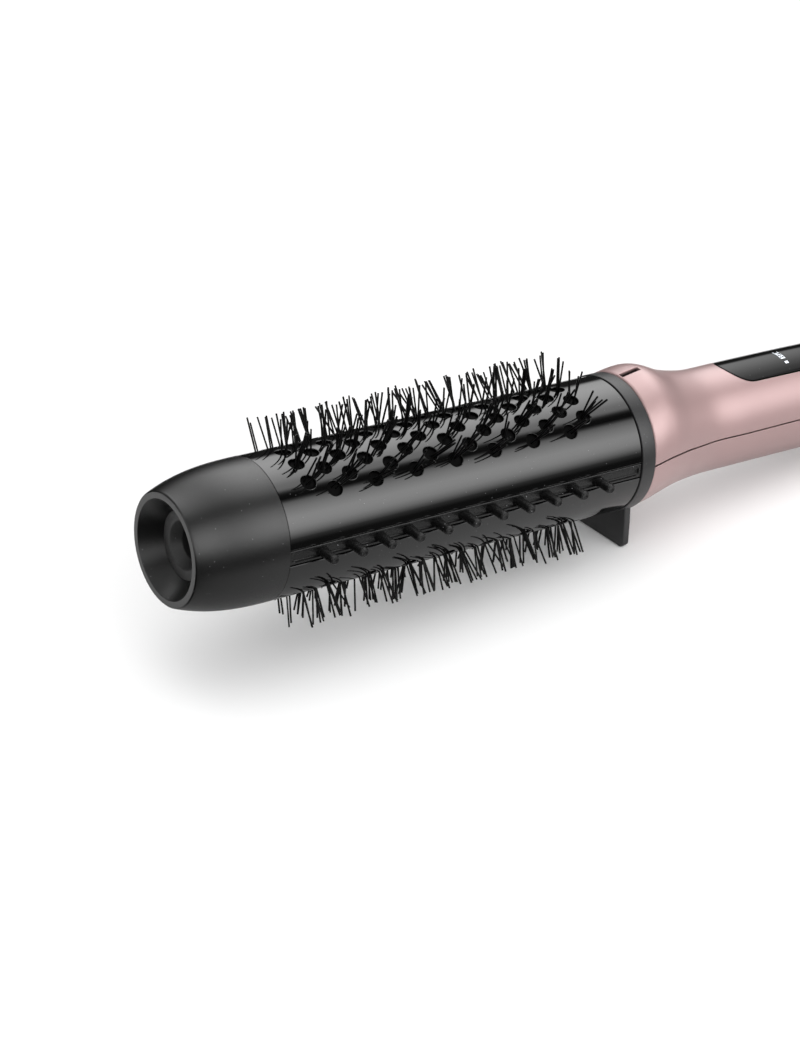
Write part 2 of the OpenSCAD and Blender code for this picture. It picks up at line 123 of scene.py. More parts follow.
def lathePoints(profile, height=0.0, count=128):
    # (x, y, z) = (along, -radius*cos(turn), height + radius*sin(turn)) for each profile point (along, radius)
    turn = np.linspace(0, 2 * np.pi, count, endpoint=False)
    along = np.repeat(profile[:, :1], count, 1)
    radius = profile[:, 1:2]
    return np.stack([along, -radius * np.cos(turn), height + radius * np.sin(turn)], -1).reshape(-1, 3)


def closingFaces(rows, count):
    # joins the last turned row back to the first
    last = (rows - 1) * count
    c = np.arange(count)
    n = (c + 1) % count
    return np.stack([last + c, last + n, n, c], -1)


def addLathe(name, profile, body, material, height=0.0, count=128):
    # a closed outline turned about the brush's axis
    groups = [gridFaces(len(profile), count, True), closingFaces(len(profile), count)]
    piece = addMesh(name, lathePoints(profile, height, count), groups, body, material)
    faceOutward(piece)
    return piece


def faceOutward(piece):
    bm = bmesh.new()
    bm.from_mesh(piece.data)
    bmesh.ops.recalc_face_normals(bm, faces=bm.faces)
    bm.to_mesh(piece.data)
    bm.free()
    piece.data.update()


def sharpen(piece, degrees):
    # edges that bend more than this stay crisp
    piece.data.set_sharp_from_angle(angle=math.radians(degrees))


# ---- shader node groups
def newGroup(name, inputs, outputs):
    group = bpy.data.node_groups.new(name, "ShaderNodeTree")
    for label, value in inputs:
        group.interface.new_socket(label, in_out="INPUT", socket_type="NodeSocketFloat").default_value = value
    for label, kind in outputs:
        group.interface.new_socket(label, in_out="OUTPUT", socket_type=kind)
    return group, group.nodes.new("NodeGroupInput"), group.nodes.new("NodeGroupOutput")


def node(tree, kind, **settings):
    made = tree.nodes.new(kind)
    for key, value in settings.items():
        if key in made.inputs:
            made.inputs[key].default_value = value
        else:
            setattr(made, key, value)
    return made


def mathNode(tree, operation, first, second=None, third=None):
    made = tree.nodes.new("ShaderNodeMath")
    made.operation = operation
    for i, value in enumerate((first, second, third)):
        if value is None:
            continue
        if isinstance(value, (int, float)):
            made.inputs[i].default_value = value
        else:
            tree.links.new(value, made.inputs[i])
    return made.outputs[0]


def makeGrainGroup():
    # moulded grain: fine noise for the height, with a broad noise that varies shade and roughness
    group, gin, gout = newGroup("mouldedGrain", [("Scale", 2500.0), ("Patch Scale", 60.0)],
                                [("Height", "NodeSocketFloat"), ("Patch", "NodeSocketFloat")])
    where = group.nodes.new("ShaderNodeTexCoord")
    fine = node(group, "ShaderNodeTexNoise", Detail=3.0, Roughness=0.6)
    broad = node(group, "ShaderNodeTexNoise", Detail=4.0, Roughness=0.55)
    group.links.new(where.outputs["Object"], fine.inputs["Vector"])
    group.links.new(where.outputs["Object"], broad.inputs["Vector"])
    group.links.new(gin.outputs["Scale"], fine.inputs["Scale"])
    group.links.new(gin.outputs["Patch Scale"], broad.inputs["Scale"])
    group.links.new(fine.outputs["Fac"], gout.inputs["Height"])
    group.links.new(broad.outputs["Fac"], gout.inputs["Patch"])
    return group


def makeScratchGroup():
    # hairlines along the brush and a sparse speck mask, for dust and handling marks; on the comb strip the specks are
    # painted glints
    group, gin, gout = newGroup("handlingMarksAndGlints", [("Scale", 400.0), ("Amount", 0.5)],
                                [("Lines", "NodeSocketFloat"), ("Specks", "NodeSocketFloat")])
    where = group.nodes.new("ShaderNodeTexCoord")
    stretch = group.nodes.new("ShaderNodeMapping")
    stretch.inputs["Scale"].default_value = (0.04, 1.0, 1.0)
    lines = node(group, "ShaderNodeTexNoise", Detail=2.0)
    specks = node(group, "ShaderNodeTexVoronoi")
    group.links.new(where.outputs["Object"], stretch.inputs["Vector"])
    group.links.new(stretch.outputs["Vector"], lines.inputs["Vector"])
    group.links.new(where.outputs["Object"], specks.inputs["Vector"])
    group.links.new(gin.outputs["Scale"], lines.inputs["Scale"])
    group.links.new(gin.outputs["Scale"], specks.inputs["Scale"])
    lineMask = mathNode(group, "MULTIPLY", lines.outputs["Fac"], gin.outputs["Amount"])
    near = mathNode(group, "LESS_THAN", specks.outputs["Distance"], 0.06)
    speckMask = mathNode(group, "MULTIPLY", near, gin.outputs["Amount"])
    group.links.new(lineMask, gout.inputs["Lines"])
    group.links.new(speckMask, gout.inputs["Specks"])
    return group


grainGroup = makeGrainGroup()
marksGroup = makeScratchGroup()


def finish(name, color, roughness, grainScale=2500.0, grainDepth=0.02, patchScale=60.0, shadeRange=0.15,
           roughRange=0.08, specks=0.0, lines=0.0, **fixed):
    # a moulded or painted surface: base colour, roughness and height all vary with the grain and the marks
    material = bpy.data.materials.new(name)
    material.use_nodes = True
    tree = material.node_tree
    shader = tree.nodes["Principled BSDF"]
    for key, value in fixed.items():
        shader.inputs[key].default_value = value
    grain = tree.nodes.new("ShaderNodeGroup")
    grain.node_tree = grainGroup
    grain.inputs["Scale"].default_value = grainScale
    grain.inputs["Patch Scale"].default_value = patchScale
    marks = tree.nodes.new("ShaderNodeGroup")
    marks.node_tree = marksGroup
    marks.inputs["Amount"].default_value = 1.0
    shade = node(tree, "ShaderNodeMapRange")
    shade.inputs["To Min"].default_value = 1 - shadeRange
    shade.inputs["To Max"].default_value = 1 + shadeRange
    tree.links.new(grain.outputs["Patch"], shade.inputs["Value"])
    tint = tree.nodes.new("ShaderNodeVectorMath")
    tint.operation = "SCALE"
    tint.inputs[0].default_value = color
    tree.links.new(shade.outputs["Result"], tint.inputs["Scale"])
    # light grey specks mixed into the base colour: dust on most finishes, painted glints on the comb strip
    dustAndGlint = node(tree, "ShaderNodeMix", data_type="RGBA")
    dustAndGlint.inputs[7].default_value = (0.35, 0.35, 0.36, 1)
    tree.links.new(mathNode(tree, "MULTIPLY", marks.outputs["Specks"], specks), dustAndGlint.inputs[0])
    tree.links.new(tint.outputs[0], dustAndGlint.inputs[6])
    tree.links.new(dustAndGlint.outputs[2], shader.inputs["Base Color"])
    rough = mathNode(tree, "MULTIPLY_ADD", grain.outputs["Patch"], roughRange, roughness - roughRange / 2)
    rough = mathNode(tree, "MULTIPLY_ADD", marks.outputs["Lines"], lines, rough)
    tree.links.new(rough, shader.inputs["Roughness"])
    bump = node(tree, "ShaderNodeBump", Strength=grainDepth, Distance=0.0002)
    tree.links.new(grain.outputs["Height"], bump.inputs["Height"])
    tree.links.new(bump.outputs["Normal"], shader.inputs["Normal"])
    return material


# ---- finishes
softBlack = finish("softTouchBlack", (0.002, 0.002, 0.002), 0.3, grainScale=5200, grainDepth=0.2,
                   shadeRange=0.18, roughRange=0.06, specks=0.35)
barrelBlack = finish("ceramicBlack", (0.0012, 0.0012, 0.0012), 0.06, grainScale=900, grainDepth=0.006,
                     shadeRange=0.3, roughRange=0.03, specks=0.25, lines=0.02)
insertBlack = finish("insertSatin", (0.012, 0.012, 0.012), 0.5, grainScale=4200, grainDepth=0.2, specks=0.3)
carrierBlack = finish("carrierBlack", (0.0015, 0.0015, 0.0015), 0.7, grainDepth=0.3, **{"Specular IOR Level": 0.05})
bristleBlack = finish("bristleNylon", (0.002, 0.002, 0.002), 0.42, grainScale=1800, grainDepth=0.1,
                      **{"Specular IOR Level": 0.15})
collarBlack = finish("collarSatin", (0.010, 0.010, 0.0105), 0.40, grainScale=6000, grainDepth=0.2, specks=0.2)
roseGold = finish("roseGoldSatin", (0.385, 0.258, 0.254), 0.46, grainScale=9000, grainDepth=0.12, patchScale=40,
                  shadeRange=0.03, roughRange=0.04, Metallic=0.52, **{"Coat Weight": 0.5, "Coat Roughness": 0.28})
panelBlack = finish("panelGloss", (0.004, 0.004, 0.004), 0.08, grainScale=500, grainDepth=0.004, specks=0.15,
                    **{"Specular IOR Level": 0.15})
buttonBlack = finish("buttonSatin", (0.016, 0.016, 0.017), 0.4, grainDepth=0.2)
steelPlain = finish("plainSteel", (0.55, 0.55, 0.56), 0.32, grainDepth=0.08, lines=0.2, Metallic=1.0)
aluminiumPlain = finish("plainAluminium", (0.72, 0.72, 0.73), 0.34, grainDepth=0.08, lines=0.2, Metallic=1.0)
wireOxide = finish("resistanceWire", (0.30, 0.24, 0.20), 0.45, grainDepth=0.15, Metallic=1.0)
micaSheet = finish("micaSheet", (0.46, 0.37, 0.23), 0.42, grainScale=700, grainDepth=0.2, shadeRange=0.3)
boardGreen = finish("boardGreen", (0.010, 0.10, 0.045), 0.3, grainScale=1500, grainDepth=0.05, shadeRange=0.2)
ionWhite = finish("ionWhite", (0.70, 0.69, 0.66), 0.4, grainDepth=0.1)
keyRubber = finish("keyRubber", (0.20, 0.20, 0.21), 0.6, grainDepth=0.2)
fanPlastic = finish("fanPlastic", (0.03, 0.03, 0.031), 0.42, grainDepth=0.15)
filterGrey = finish("filterMesh", (0.07, 0.07, 0.075), 0.55, grainDepth=0.3)

lit = finish("litReadout", (0.80, 0.84, 0.90), 0.3, grainScale=3000, grainDepth=0.02, patchScale=700, shadeRange=0.3,
             **{"Emission Strength": 0.35})
litShader = lit.node_tree.nodes["Principled BSDF"]
lit.node_tree.links.new(litShader.inputs["Base Color"].links[0].from_socket, litShader.inputs["Emission Color"])

# the strong light specks on this rubber are painted glints standing for the sparkle of the frosted strip
comb = finish("combRubber", (0.004, 0.004, 0.004), 0.24, grainScale=3400, grainDepth=0.45, patchScale=900,
              shadeRange=0.5, roughRange=0.25, specks=0.8, **{"Specular IOR Level": 0.32})
print("finishes ready")

cadFinishes = dict(
    tip_screw=steelPlain, bristle_carrier_upper=carrierBlack, bristle_carrier_lower=carrierBlack,
    core_tube=aluminiumPlain, barrel_heater_upper=aluminiumPlain, barrel_heater_lower=aluminiumPlain,
    barrel_bulkhead=carrierBlack, ion_emitter=ionWhite, display_board=boardGreen, control_board=boardGreen,
    key_mat=keyRubber, heat_shield=steelPlain, mica_frame=micaSheet, heating_coil=wireOxide,
    thermal_cutout=ionWhite, fan_housing=fanPlastic, motor_cradle=fanPlastic, motor=steelPlain,
    motor_shaft=steelPlain, fan_impeller=fanPlastic, intake_cap=softBlack, filter_disc=filterGrey,
    gland_clip=steelPlain, shell_screws=steelPlain, display_digits=lit)
for name, material in cadFinishes.items():
    mesh = frame["nodes"][name].data
    mesh.materials.clear()
    mesh.materials.append(material)


# ---- skins with holes: a flat pattern is triangulated, then wrapped onto the surface
def piercedSkin(name, pattern, wrap, cuts, wall, body, material):
    # pattern: limits (u0, u1, v0, v1), their edge radii and the steps of the flat grid
    # cuts: (ring(offset), distance(u, v)) pairs
    # near a free edge the surface drops by edge*(1 - sqrt(1 - (1 - d/edge)^2)), a quarter round
    u0, u1, v0, v1 = pattern["limits"]
    edge = pattern["cutEdge"]
    ladderSteps = np.array([0, 0.1, 0.3, 0.6, 1.0, 1.5])
    offsets = edge * ladderSteps

    def ladder(low, high, lowEdge, highEdge, step):
        start = low + lowEdge * ladderSteps[-1] + 0.35 * step
        end = high - highEdge * ladderSteps[-1] - 0.35 * step
        middle = np.linspace(start, end, max(2, int(round((end - start) / step)) + 1))
        return np.concatenate([low + lowEdge * ladderSteps, middle, (high - highEdge * ladderSteps)[::-1]])

    us = ladder(u0, u1, *pattern["edges"][:2], pattern["steps"][0])
    vs = ladder(v0, v1, *pattern["edges"][2:], pattern["steps"][1])
    grid = np.stack(np.meshgrid(us, vs, indexing="ij"), -1).reshape(-1, 2)
    keep = np.ones(len(grid), bool)
    for ring, distance in cuts:
        keep &= distance(grid) > offsets[-1] * 1.35
    flat = [grid[keep]]
    links = []
    total = int(keep.sum())
    for ring, distance in cuts:
        for offset in offsets:
            loop = ring(offset)
            k = np.arange(len(loop))
            links.append(np.stack([total + k, total + (k + 1) % len(loop)], -1))
            flat.append(loop)
            total += len(loop)
    flat = np.concatenate(flat)
    links = np.concatenate(links).tolist() if links else []
    made = delaunay_2d_cdt([Vector(p) for p in flat.tolist()], links, [], 0, 1e-5, False)
    uv = np.array([tuple(v) for v in made[0]])
    tris = np.array([f for f in made[2]])
    middle = uv[tris].mean(1)
    inside = np.ones(len(tris), bool)
    for ring, distance in cuts:
        inside &= distance(middle) > 0
    a, b, c = (uv[tris[:, i]] for i in range(3))
    area = (b[:, 0] - a[:, 0]) * (c[:, 1] - a[:, 1]) - (b[:, 1] - a[:, 1]) * (c[:, 0] - a[:, 0])
    inside &= np.abs(area) > 1e-7
    tris = tris[inside]
    used, tris = np.unique(tris, return_inverse=True)
    tris = tris.reshape(-1, 3)
    uv = uv[used]

    # how far each point lies from the free edges in units of their radii, and the way towards the nearest
    sides = np.stack([uv[:, 0] - u0, u1 - uv[:, 0], uv[:, 1] - v0, v1 - uv[:, 1]], -1) / np.array(pattern["edges"])
    toward = np.array([[-1, 0], [1, 0], [0, -1], [0, 1]], float)
    nearest = sides.argmin(1)
    gap = sides.min(1)
    way = toward[nearest]
    radius = np.array(pattern["edges"], float)[nearest]
    probe = 1e-3
    for ring, distance in cuts:
        d = distance(uv)
        closer = d / edge < gap
        if not closer.any():
            continue
        p = uv[closer]
        grad = np.stack([distance(p + [probe, 0]) - d[closer], distance(p + [0, probe]) - d[closer]], -1)
        way[closer] = -grad / np.maximum(np.linalg.norm(grad, axis=1, keepdims=True), 1e-9)
        gap[closer] = d[closer] / edge
        radius[closer] = edge
    t = np.clip(gap, 0, 1)
    drop = radius * (1 - np.sqrt(1 - (1 - t) ** 2))
    lean = np.arcsin(1 - t)[:, None]
    base = wrap(uv)
    alongU = wrap(uv + [probe, 0]) - base
    alongV = wrap(uv + [0, probe]) - base
    alongU /= np.linalg.norm(alongU, axis=1, keepdims=True)
    alongV /= np.linalg.norm(alongV, axis=1, keepdims=True)
    normal = np.cross(alongU, alongV)
    normal /= np.linalg.norm(normal, axis=1, keepdims=True)
    if (normal * (base - pattern["core"](uv))).sum(1).mean() < 0:
        normal = -normal
    tangent = way[:, :1] * alongU + way[:, 1:] * alongV
    outer = base - normal * drop[:, None]
    innerSkin = base - normal * wall
    shading = normal * np.cos(lean) + tangent * np.sin(lean)

    # triangles turn to face along the normal; the inner skin is the same pattern turned round
    p, q, r = (outer[tris[:, i]] for i in range(3))
    wrong = (np.cross(q - p, r - p) * normal[tris[:, 0]]).sum(1) < 0
    tris[wrong] = tris[wrong][:, ::-1]
    n = len(uv)
    edges = np.concatenate([tris[:, [0, 1]], tris[:, [1, 2]], tris[:, [2, 0]]])
    key = np.sort(edges, 1)
    _, index, count = np.unique(key, axis=0, return_index=True, return_counts=True)
    free = edges[index[count == 1]]
    walls = np.stack([free[:, 1], free[:, 0], free[:, 0] + n, free[:, 1] + n], -1)
    points = np.concatenate([outer, innerSkin])
    normals = np.concatenate([shading, -normal])
    return addMesh(name, points, [tris, tris[:, ::-1] + n, walls], body, material, normals)


def roundCut(u, v, radius, count=28):
    # a round hole in the flat pattern: distance = length of (du, dv) - radius
    turn = np.linspace(0, 2 * np.pi, count, endpoint=False)

    def ring(offset):
        return np.stack([u + (radius + offset) * np.cos(turn), v + (radius + offset) * np.sin(turn)], -1)

    def distance(p):
        return np.hypot(p[:, 0] - u, p[:, 1] - v) - radius

    return ring, distance


# ---- barrel tube: upper and lower halves between the side slots
barrel = dict(
    radius=25.0, wall=1.0, front=-149.5, rear=-0.1,
    slotHalf=3.0, slotEnd=-1.2,
    holeRadius=2.75, pitch=16.6, rowStep=9.7, rowCount=10,
    firstOfSeven=-128.0, firstOfEight=-136.5,
    edge=0.28)


def holePlaces():
    # rows of seven and of eight in turn, each row's turn measured from straight up towards the near side
    rows = []
    for k in range(barrel["rowCount"]):
        seven = k % 2 == 1
        count = 7 if seven else 8
        along = (barrel["firstOfSeven"] if seven else barrel["firstOfEight"]) + barrel["pitch"] * np.arange(count)
        turn = math.radians((k - (barrel["rowCount"] - 1) / 2) * barrel["rowStep"])
        rows.append(np.stack([along, np.full(count, turn)], -1))
    return np.concatenate(rows)


def wrapBarrel(side):
    # u runs along the brush and v round it: (x, y, z) = (u, -r*sin(v/r), side*r*cos(v/r))
    def wrap(p):
        radius = barrel["radius"]
        turn = p[:, 1] / radius
        return np.stack([p[:, 0], -radius * np.sin(turn), side * radius * np.cos(turn)], -1)
    return wrap


def addBarrelHalf(name, side, nodeNames):
    # half of the tube between the side slots, with a round cut for each hole
    reach = barrel["radius"] * (math.pi / 2 - math.asin(barrel["slotHalf"] / barrel["radius"]))
    cuts = [roundCut(u, barrel["radius"] * turn, barrel["holeRadius"]) for u, turn in holePlaces()]
    pattern = dict(limits=(barrel["front"], barrel["rear"], -reach, reach), steps=(2.4, 1.1),
                   edges=(0.4, 0.2, 0.25, 0.25), cutEdge=barrel["edge"],
                   core=lambda p: np.stack([p[:, 0], 0 * p[:, 0], 0 * p[:, 0]], -1))
    piece = piercedSkin(name, pattern, wrapBarrel(side), cuts, barrel["wall"],
                        "brush", barrelBlack)
    if nodeNames:
        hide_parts(*nodeNames)
    return piece


upperBarrel = addBarrelHalf("barrelUpper", 1, ["barrel_tube"])
lowerBarrel = addBarrelHalf("barrelLower", -1, [])
print("barrel ready:", len(upperBarrel.data.polygons) * 2, "faces")

# ---- tip cap: a barrel-shaped cap with a slanting lip and a dished front
tipCap = dict(front=-182.8, end=-182.4, fall=5.0, power=2.6, seamGap=0.03, lipOuter=19.6, lipInner=17.4,
              floorRadius=12.0, floorAt=-175.8, creaseRound=0.3, rimRound=0.3)


def addTipCap():
    # side: radius = barrel radius - fall*t^power for t from 0 at the barrel to 1 at the lip
    c = tipCap
    t = np.linspace(0, 1, 28)
    along = barrel["front"] - c["seamGap"] + t * (c["end"] - barrel["front"])
    side = np.stack([along, barrel["radius"] - c["fall"] * t ** c["power"]], -1)
    lip = roundedProfile(
        [side[-2], (c["end"], barrel["radius"] - c["fall"]), (c["front"], c["lipOuter"]), (c["front"], c["lipInner"]),
         (c["floorAt"], c["floorRadius"]), (c["floorAt"] + 3.0, c["floorRadius"])],
        [0.1, c["creaseRound"], c["rimRound"], 0.5])
    back = np.array([[-171.0, 17.0], [-165.0, 21.8], [-152.0, 21.8], [-150.0, 18.8], [-141.5, 18.8],
                     [-141.5, 20.4], [-147.7, 20.4], [-147.7, 23.8], [barrel["front"], 23.8],
                     [barrel["front"], barrel["radius"] - 0.5]])
    piece = addLathe("tipCap", np.concatenate([side[:-1], lip[1:], back]), "brush", softBlack, count=160)
    sharpen(piece, 50)
    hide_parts("tip_cap")
    return piece


# insert in the floor of the dish: a ring, a funnel and the screw's hole
tipInsert = dict(ring=11.95, funnel=8.4, funnelDepth=3.2, hole=5.4, sleeve=6.5, thick=3.0, screwSeat=-158.0,
                 screwHole=1.6, rear=-146.1)


def addTipInsert():
    # a closed outline turned about the axis: ring, funnel, hole and sleeve behind it
    c = tipInsert
    face = tipCap["floorAt"]
    profile = roundedProfile(
        [(face + c["thick"], c["ring"]), (face, c["ring"]), (face, c["funnel"]), (face + c["funnelDepth"], c["hole"]),
         (c["screwSeat"], c["hole"]), (c["screwSeat"], c["screwHole"]), (c["rear"], c["screwHole"]),
         (c["rear"], c["sleeve"]), (face + c["thick"], c["sleeve"])],
        [0.15, 1.2, 0.5, 0.2, 0.1, 0.1, 0.3])
    piece = addLathe("tipInsert", profile, "brush", insertBlack, count=96)
    sharpen(piece, 50)
    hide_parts("tip_insert")
    return piece


addTipCap()
addTipInsert()
print("tip cap ready")

# ---- bristles: thin nylon rods in loose tufts
bristles = dict(root=22.0, reach=37.4, radius=0.36, tuftLean=4.0, lean=11.0, fewest=2, most=5, shortest=0.86, sides=6)


def addBristles(name, side, seed, nodeName):
    # each rod is a straight tube: centre = root + way*length*s for s from 0 to 1, leaning with its tuft
    draw = np.random.default_rng(seed)
    tufts = holePlaces()
    tuftLeans = draw.normal(0, bristles["tuftLean"], (len(tufts), 2))
    which = np.repeat(np.arange(len(tufts)), draw.integers(bristles["fewest"], bristles["most"] + 1, len(tufts)))
    n = len(which)
    turn = tufts[which, 1]
    outward = np.stack([0 * turn, -np.sin(turn), side * np.cos(turn)], -1)
    across = np.stack([0 * turn, -np.cos(turn), -side * np.sin(turn)], -1)
    alongX = np.tile([1.0, 0.0, 0.0], (n, 1))
    spread = draw.uniform(-1, 1, (n, 2)) * 1.1
    leans = np.radians(tuftLeans[which] + draw.uniform(-1, 1, (n, 2)) * bristles["lean"])
    start = np.stack([tufts[which, 0], 0 * turn, 0 * turn], -1) + outward * bristles["root"]
    start = start + alongX * spread[:, :1] + across * spread[:, 1:]
    way = outward + alongX * np.tan(leans[:, :1]) + across * np.tan(leans[:, 1:])
    way /= np.linalg.norm(way, axis=1, keepdims=True)
    length = (bristles["reach"] - bristles["root"]) * draw.uniform(bristles["shortest"], 1.0, n)
    s = np.array([0.0, 0.5, 1.0])
    centre = start[:, None] + way[:, None] * (length[:, None] * s)[..., None]
    first = np.cross(way, across)
    first /= np.linalg.norm(first, axis=1, keepdims=True)
    second = np.cross(way, first)
    angle = np.linspace(0, 2 * np.pi, bristles["sides"], endpoint=False)
    thick = bristles["radius"] * draw.uniform(0.9, 1.06, n)
    rim = first[:, None, None] * np.cos(angle)[:, None] + second[:, None, None] * np.sin(angle)[:, None]
    points = (centre[:, :, None] + rim * thick[:, None, None, None]).reshape(-1, 3)
    far = np.hypot(points[:, 1], points[:, 2])
    points[:, 1:] *= np.minimum(1, bristles["reach"] / far)[:, None]
    one = gridFaces(len(s), bristles["sides"], True)
    size = len(s) * bristles["sides"]
    firsts = size * np.arange(n)
    quads = (one[None] + firsts[:, None, None]).reshape(-1, 4)
    rootCap = np.arange(bristles["sides"])[::-1] + firsts[:, None]
    endCap = np.arange(size - bristles["sides"], size) + firsts[:, None]
    piece = addMesh(name, points, [quads, rootCap, endCap], "brush", bristleBlack)
    faceOutward(piece)
    sharpen(piece, 65)
    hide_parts(nodeName)
    return piece


addBristles("bristlesUpper", 1, 11, "bristles_upper")
addBristles("bristlesLower", -1, 23, "bristles_lower")
print("bristles ready")

# ---- comb strips: a soft bar in each side slot, troughed along its face, with a row of flat-ended nubs
combStrip = dict(front=-149.4, rear=-0.15, face=24.75, back=22.2, half=2.68, crown=0.12, troughHalf=1.75,
                 troughDepth=0.8, troughEdge=0.28, troughFront=-148.6, troughRear=-1.0, nubCount=11, nubPitch=11.7,
                 firstNub=-136.5, nubRadius=1.72, footAlong=0.6, footAcross=0.35, footHeight=1.4, nubReach=32.4,
                 nubEdge=0.6, sides=32)


def troughDrop(along, v):
    # depth*smoothstep of the distance inside a round-cornered slot that runs along the bar's face
    c = combStrip
    corner = c["troughHalf"] * 0.6
    middleX = (c["troughFront"] + c["troughRear"]) / 2
    dx = np.abs(along - middleX) - ((c["troughRear"] - c["troughFront"]) / 2 - corner)
    dv = np.abs(v) - (c["troughHalf"] - corner)
    outside = np.hypot(dx.clip(0), dv.clip(0)) + np.minimum(np.maximum(dx, dv), 0) - corner
    t = (-outside / c["troughEdge"]).clip(0, 1)
    return c["troughDepth"] * t * t * (3 - 2 * t)


def addCombStrip(name, side, nodeName):
    # bar: height = face - crown*(v/half)^2 - trough; nubs: radius = nubRadius + foot*exp(-height/footHeight)
    c = combStrip
    v = np.concatenate([np.linspace(-1, -0.72, 4)[:-1], np.linspace(-0.72, 0.72, 23), np.linspace(0.72, 1, 4)[1:]])
    v = v * c["half"]
    ends = 0.12 * np.arange(10)
    along = np.concatenate([c["front"] + ends, np.linspace(c["front"] + 1.4, c["rear"] - 1.4, 150),
                            (c["rear"] - ends)[::-1]])
    gridX, gridV = np.meshgrid(along, v, indexing="ij")
    face = c["face"] - c["crown"] * (gridV / c["half"]) ** 2 - troughDrop(gridX, gridV)
    face[:, [0, -1]] -= 0.25
    rows, m = len(along), len(v) + 2
    height = np.concatenate([face, np.full((rows, 2), c["back"])], 1)
    acrossV = np.concatenate([gridV, np.full((rows, 1), c["half"]), np.full((rows, 1), -c["half"])], 1)
    rib = np.stack([np.repeat(along[:, None], m, 1), side * height, acrossV], -1).reshape(-1, 3)
    groups = [gridFaces(rows, m, True), np.arange(m)[None], ((rows - 1) * m + np.arange(m))[None]]

    floorAt = c["face"] - c["troughDepth"] - 0.1
    turnIn = np.linspace(0, np.pi / 2, 6)
    straight = np.linspace(0, 1, 14) ** 1.7 * (c["nubReach"] - c["nubEdge"] - floorAt)
    rise = np.concatenate([straight, straight[-1] + c["nubEdge"] * np.sin(turnIn[1:]),
                           [straight[-1] + c["nubEdge"] - 0.3]])
    shrink = np.concatenate([np.zeros(14), c["nubEdge"] * (1 - np.cos(turnIn[1:])), [c["nubEdge"] + 0.45]])
    flare = np.exp(-rise / c["footHeight"])
    turn = np.linspace(0, 2 * np.pi, c["sides"], endpoint=False)
    radius = (c["nubRadius"] - shrink)[:, None] + flare[:, None] * (
        c["footAcross"] + (c["footAlong"] - c["footAcross"]) * np.cos(turn) ** 2)
    rows = len(rise)
    places = c["firstNub"] + c["nubPitch"] * np.arange(c["nubCount"])
    nub = np.stack([radius * np.cos(turn), np.repeat(side * (floorAt + rise)[:, None], c["sides"], 1),
                    radius * np.sin(turn)], -1)
    nubs = (nub[None] + np.stack([places, 0 * places, 0 * places], -1)[:, None, None]).reshape(-1, 3)
    size = rows * c["sides"]
    firsts = len(rib) + size * np.arange(c["nubCount"])
    groups.append((gridFaces(rows, c["sides"], True)[None] + firsts[:, None, None]).reshape(-1, 4))
    groups.append(np.arange(c["sides"]) + firsts[:, None])
    groups.append(np.arange(size - c["sides"], size) + firsts[:, None])
    piece = addMesh(name, np.concatenate([rib, nubs]), groups, "brush", comb)
    faceOutward(piece)
    sharpen(piece, 60)
    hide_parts(nodeName)
    return piece


addCombStrip("combStripNear", -1, "comb_strip_near")
addCombStrip("combStripFar", 1, "comb_strip_far")
print("comb strips ready")

# ---- collar ring and the stand foot moulded under it
collar = dict(front=0.25, rear=6.15, radius=25.4, inner=22.0, footFront=3.2, footRear=6.2, edge=0.7, sides=160)
footOutline = [(-14.9, -19.0), (-15.6, -26.0), (-16.0, -34.6), (-14.6, -36.0), (14.6, -36.0), (16.0, -34.6),
               (15.6, -26.0), (14.9, -19.0)]


def addCollar():
    # ring: a rounded square outline turned about the axis
    c = collar
    profile = roundedProfile(
        [(c["front"], c["inner"]), (c["front"], c["radius"]), (c["rear"], c["radius"]), (c["rear"], c["inner"])],
        [0.35, 0.35], steps=5)
    ring = lathePoints(profile, 0.0, c["sides"])
    groups = [gridFaces(len(profile), c["sides"], True), closingFaces(len(profile), c["sides"])]

    # foot: rounded outline in y and z, carried along x with a quarter round at each rim
    corners = [np.array(p) for p in footOutline]
    outline = roundedProfile([(corners[0] + corners[-1]) / 2, *corners, (corners[0] + corners[-1]) / 2],
                             [0.01, 8, 1.2, 1.2, 1.2, 1.2, 8, 0.01], steps=8)[:-1]
    step = np.roll(outline, -1, 0) - np.roll(outline, 1, 0)
    out = np.stack([step[:, 1], -step[:, 0]], -1)
    out /= np.maximum(np.linalg.norm(out, axis=1, keepdims=True), 1e-9)
    if (out * (outline - outline.mean(0))).sum() < 0:
        out = -out
    turn = np.linspace(0, np.pi / 2, 6)
    inset = np.concatenate([c["edge"] * (1 - np.sin(turn)), c["edge"] * (1 - np.sin(turn))[::-1]])
    bend = c["edge"] * (1 - np.cos(turn))
    along = np.concatenate([c["footFront"] + bend, (c["footRear"] - bend)[::-1]])
    rim = outline[None] - out[None] * inset[:, None, None]
    plate = np.concatenate([np.repeat(along[:, None, None], len(outline), 1), rim], -1).reshape(-1, 3)
    tilt = math.atan2(-axisX[2], axisX[0])
    low = plate[:, 2] < -30
    plate[low, 2] += (c["footRear"] - plate[low, 0]) * -math.tan(tilt)   # the underside lies flat on the table
    m = len(outline)
    first = len(ring)
    groups.append(gridFaces(len(along), m, True, first))
    groups.append(first + np.arange(m)[None])
    groups.append(first + (len(along) - 1) * m + np.arange(m)[None])
    piece = addMesh("collarAndFoot", np.concatenate([ring, plate]), groups, "brush", collarBlack)
    faceOutward(piece)
    sharpen(piece, 40)
    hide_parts("stand_collar")
    return piece


addCollar()
print("collar and foot ready")

# ---- handle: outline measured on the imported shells, then smooth curves through it
# halfGap: half of the parting gap; panelInside: above the panel's inner face; clear: room kept off the panel's ends
outline = dict(halfGap=0.05, panelInside=18.3, clear=3.0)


def shellRings(name):
    # points of a shell sorted into the places along the brush where its rings stand
    points = nodeCorners(name)
    stations = np.unique(np.round(points[:, 0], 2))
    rings = [(s, points[np.abs(points[:, 0] - s) < 0.02]) for s in stations]
    return {s: ring for s, ring in rings if len(ring) >= 20 and np.ptp(ring[:, 1]) > 30}


